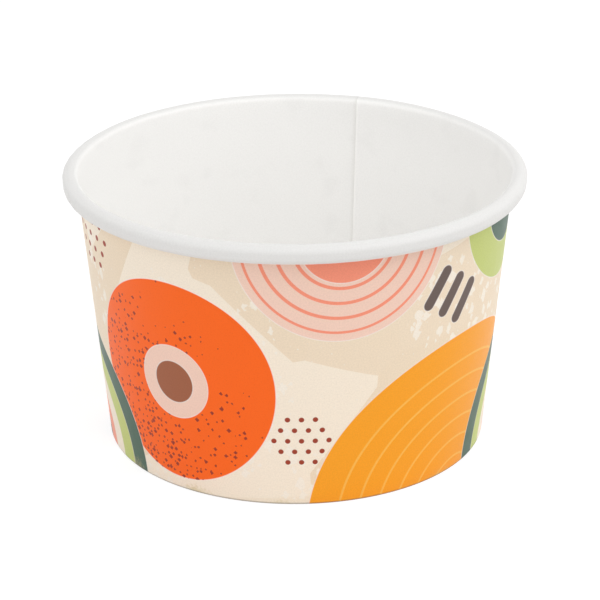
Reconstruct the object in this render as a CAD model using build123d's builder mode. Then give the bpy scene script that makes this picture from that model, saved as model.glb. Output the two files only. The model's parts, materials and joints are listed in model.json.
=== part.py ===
from build123d import *
import os
from math import acos, atan2, cos, degrees, hypot, radians, sin, tan

# A paper dessert cup, made of two sheets of board. The wall is a cone wound from a fan-shaped blank and
# glued at an overlapped side seam. Its top edge is rolled outward into the rim, and its bottom edge is folded
# in and up as a hem. The floor is a disc with a turned-down skirt, held between the wall and the hem.
# Millimetres and degrees, +Z up, with the origin at the middle of the circle that the cup stands on.

# Outside sizes
rim_diameter = 95.0  # over the rolled rim
base_diameter = 79.0  # over the wall, produced down to the table
cup_height = 58.0  # table to the top of the rim

# Board
wall_board = 0.40
floor_board = 0.40
glue_line = 0.04  # left between two faces that are glued or pressed together

# Rolled rim
roll_radius = 1.60  # outside of the roll's round top
roll_side = 0.80  # straight stretch between the roll's top and its underside

# Foot
floor_height = 7.0  # table to the underside of the floor
floor_bend = 0.30  # radius inside the bend between the floor and its skirt
hem_clearance = 1.2  # from the hem's cut edge up to the floor
hem_fold = 0.05  # radius inside the wall's fold
skirt_relief = 0.10  # from the skirt's cut edge down to the fold

# Side seam
seam_bearing = 72.0  # from +X round to the inner ply's cut edge
seam_overlap = 8.0  # width of the glued overlap at the table
seam_ramp = 2.5  # stretch in which the outer ply climbs over the inner ply
seam_rim_mark = 0.15  # depth of the step that still shows where the seam meets the rim

# The wall's lean from upright: its printed face is tangent to the roll and meets the table at the base circle
roll_r = rim_diameter / 2 - roll_radius
roll_z = cup_height - roll_radius
base_r = base_diameter / 2
lean_rad = acos((roll_radius - wall_board) / hypot(roll_r - base_r, roll_z)) - atan2(roll_z, roll_r - base_r)
lean = degrees(lean_rad)
up_wall = Vector(sin(lean_rad), cos(lean_rad))
out_of_wall = Vector(cos(lean_rad), -sin(lean_rad))
across_board = wall_board / cos(lean_rad)  # the wall's thickness, measured level


def printed_r(height):
    """Radius of the wall's printed face at a height above the table."""
    return base_r + height * tan(lean_rad)


def behind_print(depth, height):
    """Point of the section at a height above the table and a depth, square to the wall, behind its print."""
    return Vector(printed_r(height) - depth / cos(lean_rad), height)


# Wall section: the roll's underside comes back to the wall's print, a glue line short of it
roll_centre = Vector(roll_r, roll_z)
under_inset = (wall_board + glue_line) / 2
under_radius = roll_radius - under_inset
under_centre = roll_centre + out_of_wall * under_inset - up_wall * roll_side
hem_depth = wall_board + floor_board + 2 * glue_line
hem_height = floor_height - hem_clearance
fold_height = wall_board + hem_fold
outer_fold = behind_print(wall_board + hem_fold, fold_height)
inner_fold = behind_print(hem_depth - hem_fold, fold_height)


def wall_face(inset):
    """Draw one face of the wall's board, the inset being 0 for the plain face and the board for the print."""
    fold_radius = hem_fold + inset
    fold_floor = Vector(0, -fold_radius)
    underside = CenterArc(under_centre, under_radius - inset, 180 - lean, 180)
    top = CenterArc(roll_centre, roll_radius - inset, -lean, 180)
    outer_bend = CenterArc(outer_fold, fold_radius, -lean, lean - 90)
    inner_bend = CenterArc(inner_fold, fold_radius, -90, -90 - lean)
    hem_end = behind_print(hem_depth + inset, hem_height)
    Line(underside @ 1, top @ 0)
    Line(top @ 1, outer_bend @ 0)
    Line(outer_fold + fold_floor, inner_fold + fold_floor)
    Line(inner_bend @ 1, hem_end)
    return underside @ 0, hem_end


# Side seam, in level sections
overlap_turn = degrees(seam_overlap / base_r)
ramp_turn = degrees(seam_ramp / base_r)
ramp_overrun = 1.5  # the ramp is drawn on past the wall's face, as a share of its own height and length


def at_bearing(radius, turn):
    """Point at a radius, turned clockwise, as seen from above, from the inner ply's cut edge."""
    bearing = radians(seam_bearing - turn)
    return Vector(radius * cos(bearing), radius * sin(bearing))


def draw_ramp(high, low):
    """Draw the ramp's curve from the inner ply's cut edge, at the high radius, to its end at the low one."""
    end = -ramp_overrun * ramp_turn
    return ThreePointArc(at_bearing(high, 0), at_bearing((high + low) / 2, end / 2), at_bearing(low, end))


def outer_ply(height):
    """Level section of the outer ply: the overlap, and the ramp that brings it down to the wall."""
    outside = printed_r(height) + across_board
    inside = outside - ramp_overrun * across_board
    with BuildSketch(Plane.XY.offset(height)) as section:
        with BuildLine():
            RadiusArc(at_bearing(outside, overlap_turn), at_bearing(outside, 0), -outside)
            ramp = draw_ramp(outside, inside)
            RadiusArc(ramp @ 1, at_bearing(inside, overlap_turn), inside)
            Line(at_bearing(inside, overlap_turn), at_bearing(outside, overlap_turn))
        make_face()
    return section.sketch


def inner_step(height, depth):
    """Level section of the wedge left open inside the ramp, with the inner ply's cut edge as its end."""
    step = printed_r(height) - across_board + depth
    inside = step - ramp_overrun * depth
    with BuildSketch(Plane.XY.offset(height)) as section:
        with BuildLine():
            ramp = draw_ramp(step, inside)
            RadiusArc(ramp @ 1, at_bearing(inside, 0), inside)
            Line(at_bearing(inside, 0), at_bearing(step, 0))
        make_face()
    return section.sketch


floor_top = floor_height + floor_board
roll_underside = under_centre.Y - under_radius
step_fade = 2 * roll_underside - cup_height  # the step runs out from here up, half of it beside the roll

with BuildPart() as sidewall:
    with BuildSketch(Plane.XZ):
        with BuildLine():
            plain_start, plain_end = wall_face(0)
            print_start, print_end = wall_face(wall_board)
            Line(plain_start, print_start)
            Line(plain_end, print_end)
        make_face()
    revolve(axis=Axis.Z)
    loft([outer_ply(fold_height), outer_ply(roll_underside)], ruled=True)
    step_sections = [
        inner_step(floor_top, across_board),
        inner_step(step_fade, across_board),
        inner_step(cup_height, seam_rim_mark),
    ]
    loft(step_sections, ruled=True, mode=Mode.SUBTRACT)

# Floor
skirt_depth = wall_board + glue_line
bend_centre = behind_print(skirt_depth + floor_board + floor_bend, floor_height - floor_bend)
skirt_end = wall_board + skirt_relief


def floor_face(inset):
    """Draw one face of the floor's board, the inset being 0 on top and the board underneath."""
    bend = CenterArc(bend_centre, floor_bend + floor_board - inset, -lean, 90 + lean)
    centre = Vector(0, floor_top - inset)
    cut_edge = behind_print(skirt_depth + inset, skirt_end)
    Line(cut_edge, bend @ 0)
    Line(bend @ 1, centre)
    return cut_edge, centre


with BuildPart() as bottom_disc:
    with BuildSketch(Plane.XZ):
        with BuildLine():
            top_edge, top_centre = floor_face(0)
            under_edge, under_middle = floor_face(floor_board)
            Line(top_edge, under_edge)
            Line(top_centre, under_middle)
        make_face()
    revolve(axis=Axis.Z)

os.makedirs("parts", exist_ok=True)
sidewall.part.label = "sidewall"
export_step(sidewall.part, "parts/sidewall.step")
bottom_disc.part.label = "bottom_disc"
export_step(bottom_disc.part, "parts/bottom_disc.step")
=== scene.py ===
"""Looks of a paper dessert cup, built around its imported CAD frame.

The wall is one sheet of coated board: white inside and over the rolled rim, printed outside. The floor is a
second sheet. Lengths are in millimetres until they reach a mesh, a lamp or the camera, which are in metres.
"""

import json
import math

import bmesh
import bpy
import numpy as np
from mathutils import Matrix, Vector


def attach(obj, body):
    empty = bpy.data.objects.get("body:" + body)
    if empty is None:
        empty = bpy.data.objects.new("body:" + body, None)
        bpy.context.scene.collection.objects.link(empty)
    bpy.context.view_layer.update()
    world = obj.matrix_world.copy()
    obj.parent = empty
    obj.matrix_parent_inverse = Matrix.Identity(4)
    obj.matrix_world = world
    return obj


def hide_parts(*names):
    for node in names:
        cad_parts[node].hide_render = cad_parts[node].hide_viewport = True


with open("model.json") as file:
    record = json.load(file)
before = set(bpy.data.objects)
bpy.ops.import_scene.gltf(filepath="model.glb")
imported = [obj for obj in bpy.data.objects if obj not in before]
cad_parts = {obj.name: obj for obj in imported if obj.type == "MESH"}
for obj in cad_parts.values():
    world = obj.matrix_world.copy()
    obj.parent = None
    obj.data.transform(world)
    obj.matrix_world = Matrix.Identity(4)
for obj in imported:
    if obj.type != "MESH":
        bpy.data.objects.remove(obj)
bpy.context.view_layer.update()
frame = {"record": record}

MM = 0.001
HALF_TURN = math.pi
QUARTER_TURN = math.pi / 2
BLANK_MAP = "blank"  # the UV map of where a point lies on the flat blank, in millimetres

# Sizes of the two boards: the rim and the height from the frame's mount there, the rest as in the CAD part
lid_rim = next(mount for mount in frame["record"]["mounts"] if mount["name"] == "lid_rim")
RIM_R = lid_rim["dims"]["r_mm"]
CUP_HEIGHT = lid_rim["pos_m"][2] / MM
BASE_R = 39.5
BOARD = 0.40
GLUE_LINE = 0.04
ROLL_RADIUS = 1.60
ROLL_SIDE = 0.80
FLOOR_HEIGHT = 7.0
FLOOR_BEND = 0.30
HEM_CLEARANCE = 1.2
HEM_FOLD = 0.05
SKIRT_RELIEF = 0.10
SEAM_BEARING = 72.0
SEAM_OVERLAP = 8.0

# The roll's top, which pressing leaves a little flatter than the CAD part's round one
CREST_BEND = 1.45
SHOULDER_BEND = 1.20
ROLL_SLOPE = math.radians(31)

# Wall section, worked out as in the CAD part apart from the roll's top
roll_r = RIM_R - ROLL_RADIUS
roll_z = CUP_HEIGHT - ROLL_RADIUS
to_roll = math.hypot(roll_r - BASE_R, roll_z)
lean = math.acos((ROLL_RADIUS - BOARD) / to_roll) - math.atan2(roll_z, roll_r - BASE_R)
up_wall = np.array([math.sin(lean), math.cos(lean)])
out_of_wall = np.array([math.cos(lean), -math.sin(lean)])
under_inset = (BOARD + GLUE_LINE) / 2
under_radius = ROLL_RADIUS - under_inset
roll_centre = np.array([roll_r, roll_z])
under_centre = roll_centre + out_of_wall * under_inset - up_wall * ROLL_SIDE
crest_inset = ROLL_RADIUS - CREST_BEND
crest_rise = crest_inset * (1 - math.sin(lean)) / math.cos(lean)
crest_centre = roll_centre - out_of_wall * crest_inset + up_wall * crest_rise
off_slope = np.array([math.sin(ROLL_SLOPE), math.cos(ROLL_SLOPE)])
shoulder_start = roll_centre + out_of_wall * (ROLL_RADIUS - SHOULDER_BEND)
below_slope = CREST_BEND - SHOULDER_BEND - (shoulder_start - crest_centre) @ off_slope
shoulder_centre = shoulder_start + up_wall * (below_slope / (up_wall @ off_slope))
hem_depth = 2 * (BOARD + GLUE_LINE)
hem_height = FLOOR_HEIGHT - HEM_CLEARANCE
fold_height = BOARD + HEM_FOLD
middle_r = BASE_R + CUP_HEIGHT / 2 * math.tan(lean)

# Mesh density
COLUMNS = 480
SHOULDER_STEPS = 6
SLOPE_STEPS = 3
CREST_STEPS = 9
ROLL_STEPS = SHOULDER_STEPS + SLOPE_STEPS + CREST_STEPS
WALL_STEPS = 24
FOLD_STEPS = 5
HEM_STEPS = 6
FLOOR_RINGS = 14
RAMP_COLUMNS = 12
STEP_COLUMNS = 7
LIP_COLUMNS = 5
CUT_TURN = 0.012  # degrees over which a crisp cut edge drops
SMOOTH_ANGLE = 38.0

# Rows of the wall's section at which its stretches start, counted from the roll's cut edge
CREST_ROW = (ROLL_STEPS + 1) + (SHOULDER_STEPS + 1) + (SLOPE_STEPS - 1)
WALL_ROW = CREST_ROW + (CREST_STEPS + 1)
FOLD_ROW = WALL_ROW + (WALL_STEPS - 1)
FOOT_ROW = FOLD_ROW + FOLD_STEPS  # the fold's last row, which stands on the table


def behind_print(depth, height):
    """Point of the section at a height above the table and a depth, square to the wall, behind its print."""
    return np.array([BASE_R + height * math.tan(lean) - depth / math.cos(lean), height])


def arc(centre, radius, start, sweep, steps):
    """Points along an arc, from its start and through its sweep in radians."""
    angles = start + sweep * np.linspace(0, 1, steps + 1)
    return centre + radius * np.stack([np.cos(angles), np.sin(angles)], axis=1)


def between(start, end, steps):
    """Points along a straight line, both ends included."""
    return start + np.linspace(0, 1, steps + 1)[:, None] * (end - start)


def wall_face(inset):
    """One face of the wall's board, from the roll's cut edge to the hem's.

    The inset is 0 for the plain face and the board for the print.
    """
    fold = HEM_FOLD + inset
    to_slope = QUARTER_TURN - ROLL_SLOPE
    underside = arc(under_centre, under_radius - inset, HALF_TURN - lean, HALF_TURN, ROLL_STEPS)
    shoulder = arc(shoulder_centre, SHOULDER_BEND - inset, -lean, to_slope + lean, SHOULDER_STEPS)
    crest = arc(crest_centre, CREST_BEND - inset, to_slope, HALF_TURN - lean - to_slope, CREST_STEPS)
    slope = between(shoulder[-1], crest[0], SLOPE_STEPS)[1:-1]
    outer_fold = behind_print(BOARD + HEM_FOLD, fold_height)
    inner_fold = behind_print(hem_depth - HEM_FOLD, fold_height)
    outer_bend = arc(outer_fold, fold, -lean, lean - QUARTER_TURN, FOLD_STEPS)
    inner_bend = arc(inner_fold, fold, -QUARTER_TURN, -QUARTER_TURN - lean, FOLD_STEPS)
    wall = between(crest[-1], outer_bend[0], WALL_STEPS)[1:-1]
    hem = between(inner_bend[-1], behind_print(hem_depth + inset, hem_height), HEM_STEPS)[1:]
    return np.vstack([underside, shoulder, slope, crest, wall, outer_bend, inner_bend, hem])


def smooth(x):
    """An even rise from 0 to 1 as x goes from 0 to 1."""
    x = np.clip(x, 0, 1)
    return x * x * (3 - 2 * x)


def waves(bearing, parts):
    """Sum of sine waves round the cup, each given as its height, its number of waves and its start."""
    return sum(height * np.sin(count * bearing + start) for height, count, start in parts)


def along_path(points):
    """Length along a row of points."""
    return np.concatenate([[0], np.cumsum(np.linalg.norm(np.diff(points, axis=0), axis=1))])


def build_sheet(name, loops, turns, closed, materials, choose, blank):
    """Make a mesh from one loop of section points per column.

    loops is (columns, points, 2) of radius and height, and turns the columns' bearings in degrees. choose
    gives the material of a column's stretch, and blank the place of a column's point on the flat blank.
    """
    columns, points = loops.shape[:2]
    bearings = np.radians(turns)[:, None]
    radius, height = loops[..., 0], loops[..., 1]
    places = np.stack([radius * np.cos(bearings), radius * np.sin(bearings), height], axis=2)
    stretches = points if closed else points - 1
    starts = [(c, p) for c in range(columns) for p in range(stretches)]
    quads = [[(c, p), (c + 1, p), (c + 1, p + 1), (c, p + 1)] for c, p in starts]
    faces = [[(c % columns) * points + p % points for c, p in quad] for quad in quads]
    mesh = bpy.data.meshes.new(name)
    mesh.from_pydata((places.reshape(-1, 3) * MM).tolist(), [], faces)
    for material in materials:
        mesh.materials.append(material)
    mesh.polygons.foreach_set("material_index", [materials.index(choose(c, p)) for c, p in starts])
    on_blank = np.array([blank(c, p) for quad in quads for c, p in quad])
    mesh.uv_layers.new(name=BLANK_MAP).data.foreach_set("uv", on_blank.ravel())
    mesh.polygons.foreach_set("use_smooth", [True] * len(faces))
    mesh.set_sharp_from_angle(angle=math.radians(SMOOTH_ANGLE))
    mesh.update()
    piece = bpy.data.objects.new(name, mesh)
    bpy.context.scene.collection.objects.link(piece)
    return piece


# Wall piece

FRONT_BEARING = -90.0
SEAM_FOOT_FADE = 2.0  # the overlap is pressed flat over this height above the fold
SEAM_EASE = 7.0  # the outer ply bends this gently over the inner one
RAMP_CLEAR = 0.05  # share of that bend, beside the inner ply's edge, that gets no column of its own
SEAM_STEP = 0.12  # width in which the inner ply's pressed edge drops
SEAM_LIP = 0.08  # lift of that edge, and how far back it starts
SEAM_LIP_WIDTH = 0.5
SEAM_ROLL_FADE = 3.0  # the step inside grows over this height below the roll, which is pressed flat
SEAM_SHADE = 0.9  # width of the painted shadow beside the inner ply's edge, where its step shades the outer ply
ROLL_SWELL = 0.32  # the doubled board makes a fuller roll past the seam, for so many degrees
SWELL_TURN = 45.0
SWELL_REACH = 2.0  # and this far down inside, from the middle of the roll

# Small departures from a true circle, and the waves in them
RIM_WAVE = 0.10  # how far the rim strays from round and from level
SIDEWAYS = ((0.6, 2, 0.8), (0.3, 3, 2.1), (0.2, 5, 0))
UPWARD = ((0.4, 2, 2.6), (0.3, 5, 1.0), (0.2, 9, 0))
OUTER_PUCKER = 0.022  # puckers on the outside of the roll
OUTER_REACH = 2.0  # how far in from the outside they start
OUTER_FADE = 1.5  # and the stretch in which they grow
OUTER_WAVES = ((0.5, 14, 1.0708), (0.5, 60, -1.0708), (0.6, 61, 1.2))
INNER_PUCKER = 0.05  # puckers on the inside of the roll
INNER_REACH = 4.5  # how far below the top they start
INNER_FADE = 2.5
INNER_WAVES = ((0.5, 7, 0.8708), (0.5, 15, -0.0708), (0.5, 29, 2.0))

overlap_turn = math.degrees(SEAM_OVERLAP / BASE_R)
ramp_turn = math.degrees(SEAM_EASE / BASE_R)
step_turn = math.degrees(SEAM_STEP / BASE_R)
lip_turn = math.degrees(SEAM_LIP_WIDTH / BASE_R)
seam_x = math.radians(SEAM_BEARING - 360 - FRONT_BEARING) * middle_r


def wall_turns():
    """The wall's columns, in degrees clockwise past the inner ply's edge.

    They run from one side of the outer ply's cut to the other, last one first, so that their bearings rise.
    """
    half_cut = CUT_TURN / 2
    half_step = step_turn / 2
    cut = [overlap_turn + half_cut, 360 + overlap_turn - half_cut]
    ramp = 360 - ramp_turn * np.linspace(RAMP_CLEAR, 1, RAMP_COLUMNS)
    step = 360 + np.linspace(-half_step, half_step, STEP_COLUMNS)
    lip = 360 + half_step + lip_turn * np.linspace(0, 1, LIP_COLUMNS + 1)[1:]
    special = np.concatenate([cut, ramp, step, lip])
    pitch = 360 / COLUMNS
    even = overlap_turn + pitch * (np.arange(COLUMNS) + 0.5)
    apart = np.abs(even[:, None] - special).min(axis=1) > pitch / 4
    return np.sort(np.concatenate([even[apart], special]))[::-1]


def ply_room(height):
    """Share of the outer ply's thickness that fits between the wall and the roll at a height."""
    off_centre = np.clip((height - under_centre[1]) / math.cos(lean), -under_radius, under_radius)
    gap = under_radius + GLUE_LINE - np.sqrt(under_radius**2 - off_centre**2)
    return np.clip(gap / BOARD, 0, 1)


def seam_inside(heights):
    """Share of the seam's step that shows in each row of the plain face: none on the roll and in the hem."""
    share = np.zeros(len(heights))
    share[WALL_ROW:FOLD_ROW] = smooth((roll_z - heights[WALL_ROW:FOLD_ROW]) / SEAM_ROLL_FADE)
    share[FOLD_ROW : FOOT_ROW + 1] = np.linspace(1, 0, FOLD_STEPS + 1)
    return share


def seam_outside(heights):
    """Share of the outer ply's thickness that shows in each row of the print: none beyond the wall."""
    share = np.zeros(len(heights))
    on_wall = heights[WALL_ROW:FOLD_ROW]
    share[WALL_ROW:FOLD_ROW] = ply_room(on_wall) * smooth((on_wall - fold_height) / SEAM_FOOT_FADE)
    return share


def roll_swell(turns, heights):
    """How far the roll's inner side stands further in, past the seam, by column and row."""
    past_seam = np.where(turns > 360 - step_turn, turns - 360, turns)
    fuller = smooth(past_seam / step_turn + 0.5) * (1 - smooth(past_seam / SWELL_TURN))
    inner_side = smooth((heights - roll_z) / SWELL_REACH + 1) * smooth((CUP_HEIGHT - heights) / ROLL_RADIUS)
    inner_side[:CREST_ROW] = 0
    return ROLL_SWELL * fuller[:, None] * inner_side


def wall_loops(turns):
    """Section of the wall at each column: the plain face down, then the print back up."""
    plain, print_face = wall_face(0), wall_face(BOARD)
    through = (print_face - plain) / BOARD
    climb = BOARD * smooth((turns - 360 + ramp_turn) / ramp_turn)
    drop = smooth((turns - 360) / step_turn + 0.5)
    lip = SEAM_LIP * np.clip(1 - (turns - 360 - step_turn / 2) / lip_turn, 0, 1)
    step = (climb * (1 - drop) - lip * drop)[:, None] * seam_inside(plain[:, 1])
    plain_shift = step - roll_swell(turns, plain[:, 1])
    print_shift = climb[:, None] * seam_outside(print_face[:, 1])
    plain_loops = plain + plain_shift[..., None] * through
    print_loops = print_face + print_shift[..., None] * through
    loops = np.concatenate([plain_loops, print_loops[:, ::-1]], axis=1)
    return loops + waver(loops, turns)


def waver(loops, turns):
    """Small departures from a true circle, none at the foot and most at the rim, and puckers on the roll."""
    bearing = np.radians(turns)[:, None]
    radius, height = loops[..., 0], loops[..., 1]
    rise = (height / CUP_HEIGHT) ** 2
    outside = smooth((radius - (RIM_R - OUTER_REACH)) / OUTER_FADE)
    inside = (1 - outside) * smooth((height - (CUP_HEIGHT - INNER_REACH)) / INNER_FADE)
    outer_puckers = OUTER_PUCKER * waves(bearing, OUTER_WAVES) * outside
    inner_puckers = INNER_PUCKER * waves(bearing, INNER_WAVES) * inside
    radial = RIM_WAVE * waves(bearing, SIDEWAYS) * rise + outer_puckers + inner_puckers
    level = RIM_WAVE * waves(bearing, UPWARD) * rise
    return np.stack([radial, level], axis=2)


def make_wall(white, ink, edge):
    """Make the wall, with its roll, seam and hem."""
    turns = wall_turns()
    bearings = SEAM_BEARING - turns
    loops = wall_loops(turns)
    rows = loops.shape[1] // 2
    length = along_path(wall_face(BOARD))
    height_up_blank = length[FOOT_ROW] - length
    last = len(turns) - 1

    def choose(column, stretch):
        if stretch in (rows - 1, 2 * rows - 1):
            return edge
        if stretch < rows:
            return white
        return edge if column == last else ink

    def blank(column, point):
        bearing = bearings[column] if column <= last else bearings[0] + 360
        row = point % (2 * rows)
        up = height_up_blank[row if row < rows else 2 * rows - 1 - row]
        return math.radians(bearing - FRONT_BEARING) * middle_r, up

    piece = build_sheet("cup_wall", loops, bearings, True, [white, ink, edge], choose, blank)
    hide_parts("sidewall")
    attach(piece, "root")


# Floor piece

FLOOR_SAG = 0.25
PLEAT_DEPTH = 0.03
PLEAT_REACH = 5.0  # how far in from the bend the pleats start
PLEAT_FADE = 0.8  # and the stretch beside the bend in which they end
PLEAT_WAVES = ((1.0, 96, 0), (0.25, 89, 1.5708), (0.25, 103, -1.5708))
ON_AXIS = 1e-4  # points nearer to the axis than this are on it
WELD_REACH = 1e-3

skirt_depth = BOARD + GLUE_LINE
skirt_end = BOARD + SKIRT_RELIEF
bend_centre = behind_print(skirt_depth + BOARD + FLOOR_BEND, FLOOR_HEIGHT - FLOOR_BEND)


def floor_face(inset):
    """One face of the floor's board, from the axis to the skirt's cut edge.

    The inset is 0 on top and the board underneath.
    """
    bend_radius = FLOOR_BEND + BOARD - inset
    bend = arc(bend_centre, bend_radius, QUARTER_TURN, -QUARTER_TURN - lean, FOLD_STEPS + 1)
    flat = between(np.array([0, bend[0, 1]]), bend[0], FLOOR_RINGS)[:-1]
    skirt = between(bend[-1], behind_print(skirt_depth + inset, skirt_end), HEM_STEPS)[1:]
    return np.vstack([flat, bend, skirt])


def weld_centre(mesh):
    """Join the points that meet on the axis, which turns the innermost faces into triangles."""
    work = bmesh.new()
    work.from_mesh(mesh)
    on_axis = [v for v in work.verts if math.hypot(v.co.x, v.co.y) < ON_AXIS * MM]
    bmesh.ops.remove_doubles(work, verts=on_axis, dist=WELD_REACH * MM)
    work.to_mesh(mesh)
    work.free()


def make_floor(white, edge):
    """Make the floor, with its bend and skirt."""
    section = np.vstack([floor_face(BOARD), floor_face(0)[::-1]])
    cut_stretch = len(section) // 2 - 1
    turns = 360 * np.arange(COLUMNS) / COLUMNS
    bearing = np.radians(turns)[:, None]
    radius, height = section[:, 0], section[:, 1]
    bend_r = bend_centre[0]
    above_skirt = smooth((height - FLOOR_HEIGHT + 2 * FLOOR_BEND) / FLOOR_BEND)
    sag = -FLOOR_SAG * (1 - (radius / bend_r) ** 2) * above_skirt
    near_bend = smooth((radius - bend_r) / PLEAT_REACH + 1) * smooth((bend_r - radius) / PLEAT_FADE)
    pleats = PLEAT_DEPTH * waves(bearing, PLEAT_WAVES) * near_bend * above_skirt
    loops = np.repeat(section[None], COLUMNS, axis=0)
    loops[..., 1] += sag + pleats

    def choose(column, stretch):
        return edge if stretch == cut_stretch else white

    def blank(column, point):
        turn = math.radians(360 * column / COLUMNS)
        return radius[point] * math.cos(turn), radius[point] * math.sin(turn)

    piece = build_sheet("cup_floor", loops, turns, False, [white, edge], choose, blank)
    weld_centre(piece.data)
    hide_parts("bottom_disc")
    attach(piece, "root")


# Materials

ROLL_START = 57.7  # height on the blank from which the board is rolled, and from which it is painted a shade greyer as painted shade
ROLL_FULL = 58.25
HANG_HEIGHT = 58.0  # height on the blank, behind the roll, that the print's half discs hang from
PRINT_BLEED = 2.5  # the inks run on under the foot by this much
MIX_SHARE, MIX_BELOW, MIX_ABOVE, MIX_RESULT = 0, 6, 7, 2  # sockets of a Mix node that mixes colours


def srgb(red, green, blue):
    """A colour given in 8-bit sRGB, as Blender's linear colour."""
    parts = [c / 255 for c in (red, green, blue)]
    linear = [c / 12.92 if c <= 0.04045 else ((c + 0.055) / 1.055) ** 2.4 for c in parts]
    return (*linear, 1.0)


WHITE_BOARD = srgb(249, 248, 246)
SHOW_THROUGH = srgb(241, 240, 238)
# painted shade: the roll a shade greyer than the rest of the white board
ROLL_SHADED_WHITE = srgb(230, 229, 227)
# painted shadow of the seam where it crosses the roll
ROLL_SEAM_SHADOW = srgb(221, 220, 218)
# painted shadow beside the seam's step
SEAM_SHADOW_GREY = srgb(242, 241, 238)
# painted highlight along the seam's lifted edge
LIP_HIGHLIGHT = srgb(255, 254, 252)
RAW_EDGE = srgb(244, 241, 234)
RAW_FIBRE = srgb(226, 220, 207)

CREAM = srgb(250, 237, 218)
CREAM_FACET = srgb(241, 222, 196)
AMBER = srgb(252, 164, 30)
AMBER_LIGHT = srgb(253, 187, 78)
VERMILION = srgb(255, 104, 14)
VERMILION_DEEP = srgb(156, 56, 34)
SALMON = srgb(249, 150, 122)
PINK = srgb(246, 210, 192)
LIGHT_GREEN = srgb(197, 207, 120)
DARK_GREEN = srgb(72, 100, 84)
TAUPE = srgb(104, 88, 82)
BROWN = srgb(160, 96, 66)
MAROON = srgb(158, 62, 40)
PALE_LINE = srgb(250, 240, 234)
BRUSH_CREAM = srgb(250, 241, 227)
SCUFF_TAN = srgb(212, 194, 138)

GRAIN_PER_MM = 3.0
WHITE_GRAIN = 0.06
INK_GRAIN = 0.10
PATCH_SHARE = 0.35  # strength of the soft patches on the white side, and of its fibre
FIBRE_SHARE = 0.16
INK_EDGE = 0.07  # width over which an ink fades out
KEY_LINE = 0.16  # half width of the pale line round a shape
KEY_SHARE = 0.8
FACETS_PER_MM = 0.055
SPECKS_PER_MM = 0.85
CHIPS_PER_MM = 0.55
CHIP_GROUPS_PER_MM = 0.045
CHIP_SLANT = 0.6  # radians
CHIP_STRETCH = (1.0, 0.7, 1.0)
CHIP_REACH = 0.55
CHIP_SHARE = 0.85
STANDING_SHADOW_SHARE = 0.7  # strength of the grey line along the fold it stands on: painted contact shadow, with some wear
SCUFFS = (  # rubbed places on the foot: place on the blank, width, height and strength
    (-41, 7, 3.0, 0.35),
    (-22.5, 8, 2.4, 0.5),
    (-3.5, 7, 1.4, 0.4),
    (35, 10, 1.8, 0.3),
)


class Shader:
    """Adds linked nodes to one new material, with short names for what the boards need."""

    def __init__(self, name):
        self.material = bpy.data.materials.new(name)
        self.material.use_nodes = True
        self.tree = self.material.node_tree
        self.surface = self.tree.nodes["Principled BSDF"]
        self.place = self.node("ShaderNodeUVMap", uv_map=BLANK_MAP).outputs[0]
        split = self.node("ShaderNodeSeparateXYZ", {"Vector": self.place})
        self.x, self.y = split.outputs[0], split.outputs[1]

    def node(self, kind, inputs=None, **settings):
        """A new node, with its settings, and its inputs linked or set."""
        made = self.tree.nodes.new(kind)
        for key, value in settings.items():
            setattr(made, key, value)
        for key, value in (inputs or {}).items():
            self.feed(made.inputs[key], value)
        return made

    def feed(self, socket, value):
        """Link an input to another node's output, or set it to a value."""
        if isinstance(value, bpy.types.NodeSocket):
            self.tree.links.new(value, socket)
        else:
            socket.default_value = value

    def compute(self, operation, *values, clamp=False):
        """The result of a Math node."""
        inputs = dict(enumerate(values))
        return self.node("ShaderNodeMath", inputs, operation=operation, use_clamp=clamp).outputs[0]

    def plus(self, first, second):
        return self.compute("ADD", first, second)

    def minus(self, first, second):
        return self.compute("SUBTRACT", first, second)

    def times(self, first, second):
        return self.compute("MULTIPLY", first, second)

    def spread(self, share, low, high):
        """A share from 0 to 1, spread from low to high."""
        return self.compute("MULTIPLY_ADD", share, high - low, low)

    def rise(self, value, low, high):
        """A straight rise from 0 at low to 1 at high."""
        inputs = {"Value": value, "From Min": low, "From Max": high}
        return self.node("ShaderNodeMapRange", inputs).outputs[0]

    def mix(self, share, below, above):
        """One colour over another, by a share from 0 to 1."""
        inputs = {MIX_SHARE: share, MIX_BELOW: below, MIX_ABOVE: above}
        return self.node("ShaderNodeMix", inputs, data_type="RGBA").outputs[MIX_RESULT]

    def noise(self, per_mm, detail=2.0, roughness=0.5):
        """Soft noise from 0 to 1, with so many features to the millimetre."""
        inputs = {"Vector": self.place, "Scale": per_mm, "Detail": detail, "Roughness": roughness}
        return self.node("ShaderNodeTexNoise", inputs, noise_dimensions="2D").outputs[0]

    def grain(self, colour, depth):
        """A colour made a little lighter and darker by fine noise."""
        fine = self.noise(GRAIN_PER_MM, detail=3.0, roughness=0.6)
        inputs = {"Value": self.spread(fine, 1 - depth, 1 + depth), "Color": colour}
        return self.node("ShaderNodeHueSaturation", inputs).outputs[0]

    def finish(self, colour, roughness, gloss, bump, bump_mm):
        """Link what the principled surface shows."""
        self.surface.inputs["Specular IOR Level"].default_value = gloss
        self.feed(self.surface.inputs["Base Color"], colour)
        self.feed(self.surface.inputs["Roughness"], roughness)
        inputs = {"Strength": 1.0, "Distance": bump_mm * MM, "Height": bump}
        self.feed(self.surface.inputs["Normal"], self.node("ShaderNodeBump", inputs).outputs[0])
        return self.material


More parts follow.
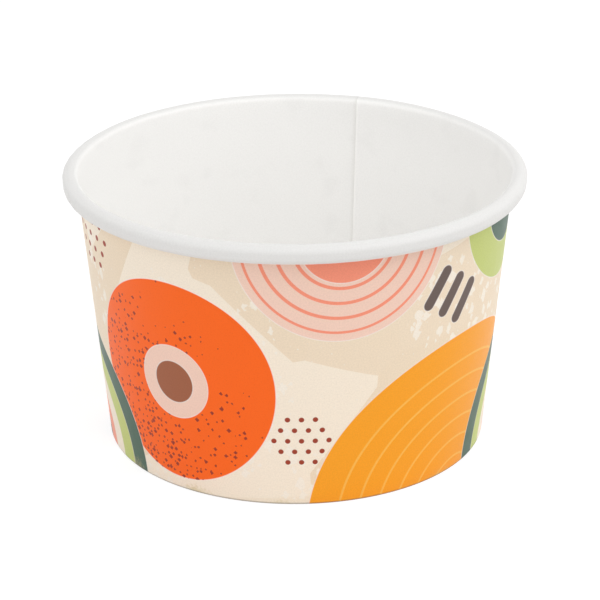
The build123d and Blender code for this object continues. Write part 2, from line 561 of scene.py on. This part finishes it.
def white_board():
    """Plain side of the board: white, with a satin plastic coat, faint fibre and soft patches, a painted
    shadow and painted highlight at the seam, and painted shade on the roll.
    """
    board = Shader("white_board")
    patch = board.rise(board.noise(per_mm=0.11, detail=3.0), low=0.60, high=0.74)
    fibre = board.noise(per_mm=1.6, detail=4.0, roughness=0.6)
    thread = board.rise(fibre, low=0.35, high=0.75)
    colour = board.mix(board.times(patch, PATCH_SHARE), WHITE_BOARD, SHOW_THROUGH)
    colour = board.mix(board.times(thread, FIBRE_SHARE), colour, SHOW_THROUGH)
    # Painted shadow of the seam's step: grey beside the inner ply's edge, darker on the roll
    past_seam = board.minus(board.x, seam_x)
    shade_fade = board.rise(past_seam, low=SEAM_SHADE, high=0)
    shade_start = board.rise(past_seam, low=-SEAM_STEP, high=0)
    seam_shadow = board.times(shade_fade, shade_start)
    # Painted highlight: a whiter line along the inner ply's lifted edge
    lip_highlight_rise = board.rise(past_seam, low=-SEAM_LIP_WIDTH, high=-SEAM_STEP)
    lip_highlight_end = board.rise(past_seam, low=0, high=-SEAM_STEP)
    colour = board.mix(seam_shadow, colour, SEAM_SHADOW_GREY)
    colour = board.mix(board.times(lip_highlight_rise, lip_highlight_end), colour, LIP_HIGHLIGHT)
    # The roll is painted a shade greyer, as painted shade, and the seam's painted shadow goes on over it
    roll_shaded_colour = board.mix(seam_shadow, ROLL_SHADED_WHITE, ROLL_SEAM_SHADOW)
    colour = board.mix(board.rise(board.y, ROLL_START, ROLL_FULL), colour, roll_shaded_colour)
    colour = board.grain(colour, WHITE_GRAIN)
    roughness = board.spread(board.noise(per_mm=0.4), low=0.40, high=0.54)
    return board.finish(colour, roughness, gloss=0.28, bump=fibre, bump_mm=0.012)


def raw_edge():
    """Cut edge of the board: uncoated pulp, with layers of fibre."""
    pulp = Shader("raw_edge")
    fibre = pulp.noise(per_mm=5.0, detail=4.0, roughness=0.7)
    colour = pulp.mix(pulp.rise(fibre, low=0.3, high=0.7), RAW_EDGE, RAW_FIBRE)
    return pulp.finish(colour, roughness=0.85, gloss=0.3, bump=fibre, bump_mm=0.03)


class Print(Shader):
    """The printed side: flat inks laid one over the other on the blank.

    Places are in millimetres, across from the cup's front and up from the foot.
    """

    REPEAT = math.pi * middle_r  # the design goes twice round the cup

    def __init__(self, name):
        super().__init__(name)
        self.colour = CREAM

    def wrap(self, value, span):
        """A value brought within half a span of 0 by whole spans."""
        return self.compute("WRAP", value, span / 2, -span / 2)

    def offset(self, x, y):
        """How far a point lies from the nearest repeat of a place, across and up."""
        return self.wrap(self.minus(self.x, x), self.REPEAT), self.minus(self.y, y)

    def away(self, across, up):
        """Length of an offset."""
        both = self.node("ShaderNodeCombineXYZ", {"X": across, "Y": up}).outputs[0]
        return self.node("ShaderNodeVectorMath", {0: both}, operation="LENGTH").outputs[1]

    def ragged(self, away, per_mm, depth, detail=2.0):
        """A distance made uneven by noise."""
        return self.compute("MULTIPLY_ADD", self.noise(per_mm, detail), depth, away)

    def cells(self, vector, per_mm, metric="EUCLIDEAN"):
        """Random cells: how far a point is from its cell's middle, and three shares for the cell."""
        inputs = {"Vector": vector, "Scale": per_mm}
        made = self.node("ShaderNodeTexVoronoi", inputs, voronoi_dimensions="2D", distance=metric)
        numbers = self.node("ShaderNodeSeparateColor", {"Color": made.outputs["Color"]}).outputs
        return made.outputs["Distance"], numbers[0], numbers[1], numbers[2]

    def inside(self, first, second):
        """The edge of what two shapes share."""
        return self.compute("MAXIMUM", first, second)

    def lay(self, ink, edge, line=True):
        """Lay an ink where the distance from its edge is below 0, with a pale line along the edge."""
        cover = self.compute("MULTIPLY_ADD", edge, -1 / INK_EDGE, 0.5, clamp=True)
        self.colour = self.mix(cover, self.colour, ink)
        if line:
            off_edge = self.compute("ABSOLUTE", edge)
            near = self.compute("MULTIPLY_ADD", off_edge, -1 / KEY_LINE, 1.0, clamp=True)
            self.colour = self.mix(self.times(near, KEY_SHARE), self.colour, PALE_LINE)

    def rings(self, x, y, bands):
        """Discs of shrinking radius laid on one middle, each given as a radius and an ink."""
        away = self.away(*self.offset(x, y))
        for radius, ink in bands:
            self.lay(ink, self.minus(away, radius))
        return away

    def ring_lines(self, ink, away, reach, pitch, width):
        """Thin rings at an even pitch round one middle, out to a reach."""
        off_line = self.compute("ABSOLUTE", self.wrap(away, pitch))
        self.lay(ink, self.inside(self.minus(away, reach), self.minus(off_line, width / 2)), line=False)

    def facets(self):
        """Large flat facets of a second cream."""
        tone = self.cells(self.place, FACETS_PER_MM)[1]
        self.colour = self.mix(self.rise(tone, low=0.45, high=0.55), self.colour, CREAM_FACET)

    def brush_chips(self, ink):
        """Small pale chips of a dry brush, in loose groups."""
        inputs = {"Vector": self.place, "Rotation": (0, 0, CHIP_SLANT), "Scale": CHIP_STRETCH}
        slanted = self.node("ShaderNodeMapping", inputs).outputs[0]
        away, _, _, chance = self.cells(slanted, CHIPS_PER_MM, "CHEBYCHEV")
        group = self.rise(self.noise(CHIP_GROUPS_PER_MM, detail=1.0), low=0.50, high=0.56)
        reach = self.times(self.rise(chance, low=0.3, high=1), self.times(group, CHIP_REACH))
        edge = self.minus(self.ragged(away, per_mm=1.5, depth=0.5), reach)
        chip = self.rise(edge, low=0.24, high=0.20)
        self.colour = self.mix(self.times(chip, CHIP_SHARE), self.colour, ink)

    def speckle(self, edge, ink, amount):
        """Sprayed angular specks inside an edge, as many as the amount says."""
        away, chance, size, _ = self.cells(self.place, SPECKS_PER_MM, "MANHATTAN")
        reach = self.spread(self.times(size, size), low=0.36, high=0.66)
        there = self.rise(self.minus(amount, chance), low=0, high=0.1)
        speck = self.minus(self.ragged(away, per_mm=2.4, depth=0.34), self.times(reach, there))
        self.lay(ink, self.inside(edge, speck), line=False)

    def dots(self, ink, x, y, reach, pitch, radius):
        """A round patch of dots on a staggered grid, all of them whole."""
        across, up = self.offset(x, y)
        rise = pitch * math.sqrt(3)
        grids = []
        for shift_x, shift_y in ((0, 0), (pitch / 2, rise / 2)):
            beside = self.wrap(self.minus(across, shift_x), pitch)
            above = self.wrap(self.minus(up, shift_y), rise)
            dot = self.minus(self.away(beside, above), radius)
            middle = self.away(self.minus(across, beside), self.minus(up, above))
            grids.append(self.inside(dot, self.minus(middle, reach)))
        self.lay(ink, self.compute("MINIMUM", *grids), line=False)

    def bars(self, ink, x, y, angle, count, pitch, length, width):
        """A row of parallel bars with round ends."""
        across, up = self.offset(x, y)
        cos, sin = math.cos(math.radians(angle)), math.sin(math.radians(angle))
        ahead = self.plus(self.times(across, cos), self.times(up, sin))
        beside = self.minus(self.times(up, cos), self.times(across, sin))
        spread = (count - 1) / 2 * pitch
        nearest = self.compute("SNAP", self.plus(beside, pitch / 2 + spread), pitch)
        not_before = self.compute("MAXIMUM", self.minus(nearest, spread), -spread)
        row = self.compute("MINIMUM", not_before, spread)
        past_end = self.minus(self.compute("ABSOLUTE", ahead), (length - width) / 2)
        beyond = self.compute("MAXIMUM", past_end, 0.0)
        self.lay(ink, self.minus(self.away(beyond, self.minus(beside, row)), width / 2))

    def scuff(self, x, width, height, strength):
        """A rubbed patch on the foot's edge, at one place round the cup."""
        across = self.compute("DIVIDE", self.minus(self.x, x), width / 2)
        away = self.away(across, self.compute("DIVIDE", self.y, height))
        broken = self.ragged(away, per_mm=1.3, depth=1.6, detail=3.0)
        cover = self.times(self.rise(broken, low=1.75, high=1.1), strength)
        self.colour = self.mix(cover, self.colour, SCUFF_TAN)


def amber_dome(design):
    """A wide dome on the foot, with thin rings."""
    away = design.rings(x=40, y=-6, bands=[(38, AMBER)])
    design.ring_lines(AMBER_LIGHT, away, reach=34.5, pitch=4.5, width=0.5)


def vermilion_disc(design):
    """A disc with a ring at its middle, sprayed with specks on its lower left."""
    radius = 22
    middle = {"x": -26, "y": 25}
    away = design.rings(**middle, bands=[(radius, VERMILION)])
    to_upper_right = design.plus(design.wrap(design.x, design.REPEAT), design.y)
    amount = design.rise(to_upper_right, low=26, high=-38)
    design.speckle(design.minus(away, radius), VERMILION_DEEP, amount)
    design.rings(**middle, bands=[(8, PINK), (4.6, BROWN)])


def hanging_halves(design):
    """Half discs that hang from the rim, one of them with rings."""
    away = design.rings(x=9, y=HANG_HEIGHT, bands=[(21, PINK)])
    design.ring_lines(SALMON, away, reach=19.4, pitch=3.2, width=0.7)
    design.rings(x=9, y=HANG_HEIGHT, bands=[(8.5, SALMON)])
    design.rings(x=55, y=HANG_HEIGHT, bands=[(19, LIGHT_GREEN), (11.5, DARK_GREEN)])


def foot_arch(design):
    """A banded arch that stands on the foot."""
    bands = [(26, DARK_GREEN), (21, LIGHT_GREEN), (16, CREAM), (11, SALMON), (6, TAUPE)]
    design.rings(x=-63, y=0, bands=bands)


def bars_and_dots(design):
    """Bars and patches of dots on the cream."""
    design.bars(TAUPE, x=33, y=42, angle=58, count=3, pitch=4.6, length=10, width=2.6)
    design.dots(MAROON, x=1, y=15, reach=5.8, pitch=2.8, radius=0.55)
    design.dots(MAROON, x=-50, y=50, reach=8, pitch=3.4, radius=0.62)


def worn_and_shaded_foot(design):
    """Rubbed places on the foot, and a grey line along the fold that it stands on: painted contact shadow,
    with some wear.
    """
    for x, width, height, strength in SCUFFS:
        design.scuff(x, width, height, strength)
    # Painted contact shadow, with some wear, along the fold the cup stands on
    below_wall = design.rise(design.y, low=0.8, high=0.45)
    outer_half = design.rise(design.y, low=-0.2, high=0.1)
    standing_shadow = design.times(below_wall, outer_half)
    design.colour = design.mix(design.times(standing_shadow, STANDING_SHADOW_SHARE), design.colour, TAUPE)


def printed_board():
    """Printed side of the board: round and striped shapes in flat inks on cream, under a satin varnish."""
    design = Print("printed_board")
    design.facets()
    design.brush_chips(BRUSH_CREAM)
    amber_dome(design)
    vermilion_disc(design)
    hanging_halves(design)
    foot_arch(design)
    bars_and_dots(design)
    worn_and_shaded_foot(design)
    design.lay(WHITE_BOARD, design.plus(design.y, PRINT_BLEED), line=False)
    colour = design.grain(design.colour, INK_GRAIN)
    roughness = design.spread(design.noise(per_mm=0.5), low=0.36, high=0.48)
    fibre = design.noise(per_mm=1.4, detail=4.0, roughness=0.6)
    return design.finish(colour, roughness, gloss=0.25, bump=fibre, bump_mm=0.010)


# Camera, fitted to the rim, the base and the sides of the cup in the photograph

PHOTO_SIDE = 600
SENSOR = 36.0
FOCAL_PIXELS = 2387.8
ELEVATION = math.radians(22.57)
ROLL = math.radians(-0.30)
DISTANCE = 500.0
NEAREST = 10.0  # the camera sees nothing nearer than this
MIDDLE = Vector((0, 0, 30))  # of the cup
MIDDLE_PIXELS_OFF_CENTRE = (-4.27, -10.72)  # right and down, of the cup's middle in the frame


def aimed(place, aim):
    """Matrix that sets something at a place, turned to look at an aim."""
    turn = (aim - place).to_track_quat("-Z", "Y").to_matrix().to_4x4()
    return Matrix.Translation(place * MM) @ turn


def make_camera():
    """Make the camera at the photograph's viewing angle."""
    right = Vector((1, 0, 0))
    ahead = Vector((0, math.cos(ELEVATION), -math.sin(ELEVATION)))
    up = right.cross(ahead)
    place = MIDDLE - ahead * DISTANCE
    off_x, off_y = (p * DISTANCE / FOCAL_PIXELS for p in MIDDLE_PIXELS_OFF_CENTRE)
    aim = MIDDLE - right * off_x + up * off_y
    data = bpy.data.cameras.new("camera")
    data.sensor_width = SENSOR
    data.lens = FOCAL_PIXELS * SENSOR / PHOTO_SIDE
    data.clip_start = NEAREST * MM
    camera = bpy.data.objects.new("camera", data)
    camera.matrix_world = aimed(place, aim) @ Matrix.Rotation(ROLL, 4, "Z")
    bpy.context.scene.collection.objects.link(camera)
    bpy.context.scene.camera = camera


# Studio

WORLD_LEVEL = 0.6
GROUND_SIDE = 6.0  # metres
GROUND_GLOW = 0.82  # the share of the ground's white, as the camera sees it, that no shadow reaches
GROUND_SHADE = 0.28  # its white under that glow, which the lamps light and the cup shades
GROUND_BOUNCE = 0.86  # the ground's white, as it lights the cup
LAMP_SIDE = 0.7  # metres
LAMPS = {  # place in millimetres, and power in watts
    "right_high": ((380, -330, 800), 2.4),
    "right": ((680, -100, 480), 1.05),
    "left_front": ((-500, -480, 480), 1.35),
    "right_back": ((500, 480, 480), 0.55),
    "left_back": ((-500, 480, 480), 0.55),
}


def grey(level):
    """A linear colour with no hue."""
    return (level, level, level, 1)


def seen_straight(tree):
    """1 for rays from the camera, straight or by gloss or glass, and 0 for light that falls on things."""
    path = tree.nodes.new("ShaderNodeLightPath").outputs
    either = path["Is Camera Ray"]
    for name in ("Is Glossy Ray", "Is Transmission Ray"):
        highest = tree.nodes.new("ShaderNodeMath")
        highest.operation = "MAXIMUM"
        tree.links.new(either, highest.inputs[0])
        tree.links.new(path[name], highest.inputs[1])
        either = highest.outputs[0]
    return either


def show_by_ray(tree, light, seen, output):
    """Give an output node one shader for the light that falls on things, and another for what is seen."""
    choice = tree.nodes.new("ShaderNodeMixShader")
    tree.links.new(seen_straight(tree), choice.inputs[0])
    tree.links.new(light.outputs[0], choice.inputs[1])
    tree.links.new(seen.outputs[0], choice.inputs[2])
    tree.links.new(choice.outputs[0], tree.nodes[output].inputs["Surface"])


def make_world():
    """Make a world of plain soft light that is seen as white."""
    world = bpy.data.worlds.new("studio")
    world.use_nodes = True
    tree = world.node_tree
    light = tree.nodes["Background"]
    light.inputs["Strength"].default_value = WORLD_LEVEL
    light.inputs["Color"].default_value = grey(1)
    seen = tree.nodes.new("ShaderNodeBackground")
    seen.inputs["Color"].default_value = grey(1)
    show_by_ray(tree, light, seen, "World Output")
    bpy.context.scene.world = world


def ground_white():
    """Material of the ground: seen as white, apart from the cup's faint shadow."""
    material = bpy.data.materials.new("ground")
    material.use_nodes = True
    tree = material.node_tree
    tree.nodes.remove(tree.nodes["Principled BSDF"])
    light = tree.nodes.new("ShaderNodeBsdfDiffuse")
    light.inputs["Color"].default_value = grey(GROUND_BOUNCE)
    shade = tree.nodes.new("ShaderNodeBsdfDiffuse")
    shade.inputs["Color"].default_value = grey(GROUND_SHADE)
    glow = tree.nodes.new("ShaderNodeEmission")
    glow.inputs["Strength"].default_value = GROUND_GLOW
    seen = tree.nodes.new("ShaderNodeAddShader")
    tree.links.new(shade.outputs[0], seen.inputs[0])
    tree.links.new(glow.outputs[0], seen.inputs[1])
    show_by_ray(tree, light, seen, "Material Output")
    return material


def make_ground():
    """Make the plain floor of the studio."""
    half = GROUND_SIDE / 2
    corners = [(-half, -half, 0), (half, -half, 0), (half, half, 0), (-half, half, 0)]
    mesh = bpy.data.meshes.new("ground")
    mesh.from_pydata(corners, [], [(0, 1, 2, 3)])
    mesh.materials.append(ground_white())
    ground = bpy.data.objects.new("ground", mesh)
    bpy.context.scene.collection.objects.link(ground)


def make_lamps():
    """Make the soft lamps, all aimed at the middle of the cup."""
    for name, (place, power) in LAMPS.items():
        data = bpy.data.lights.new(name, "AREA")
        data.size = LAMP_SIDE
        data.energy = power
        lamp = bpy.data.objects.new(name, data)
        lamp.matrix_world = aimed(Vector(place), MIDDLE)
        bpy.context.scene.collection.objects.link(lamp)


white = white_board()
edge = raw_edge()
make_wall(white, printed_board(), edge)
make_floor(white, edge)
make_camera()
make_world()
make_ground()
make_lamps()
bpy.context.scene.view_settings.view_transform = "Standard"
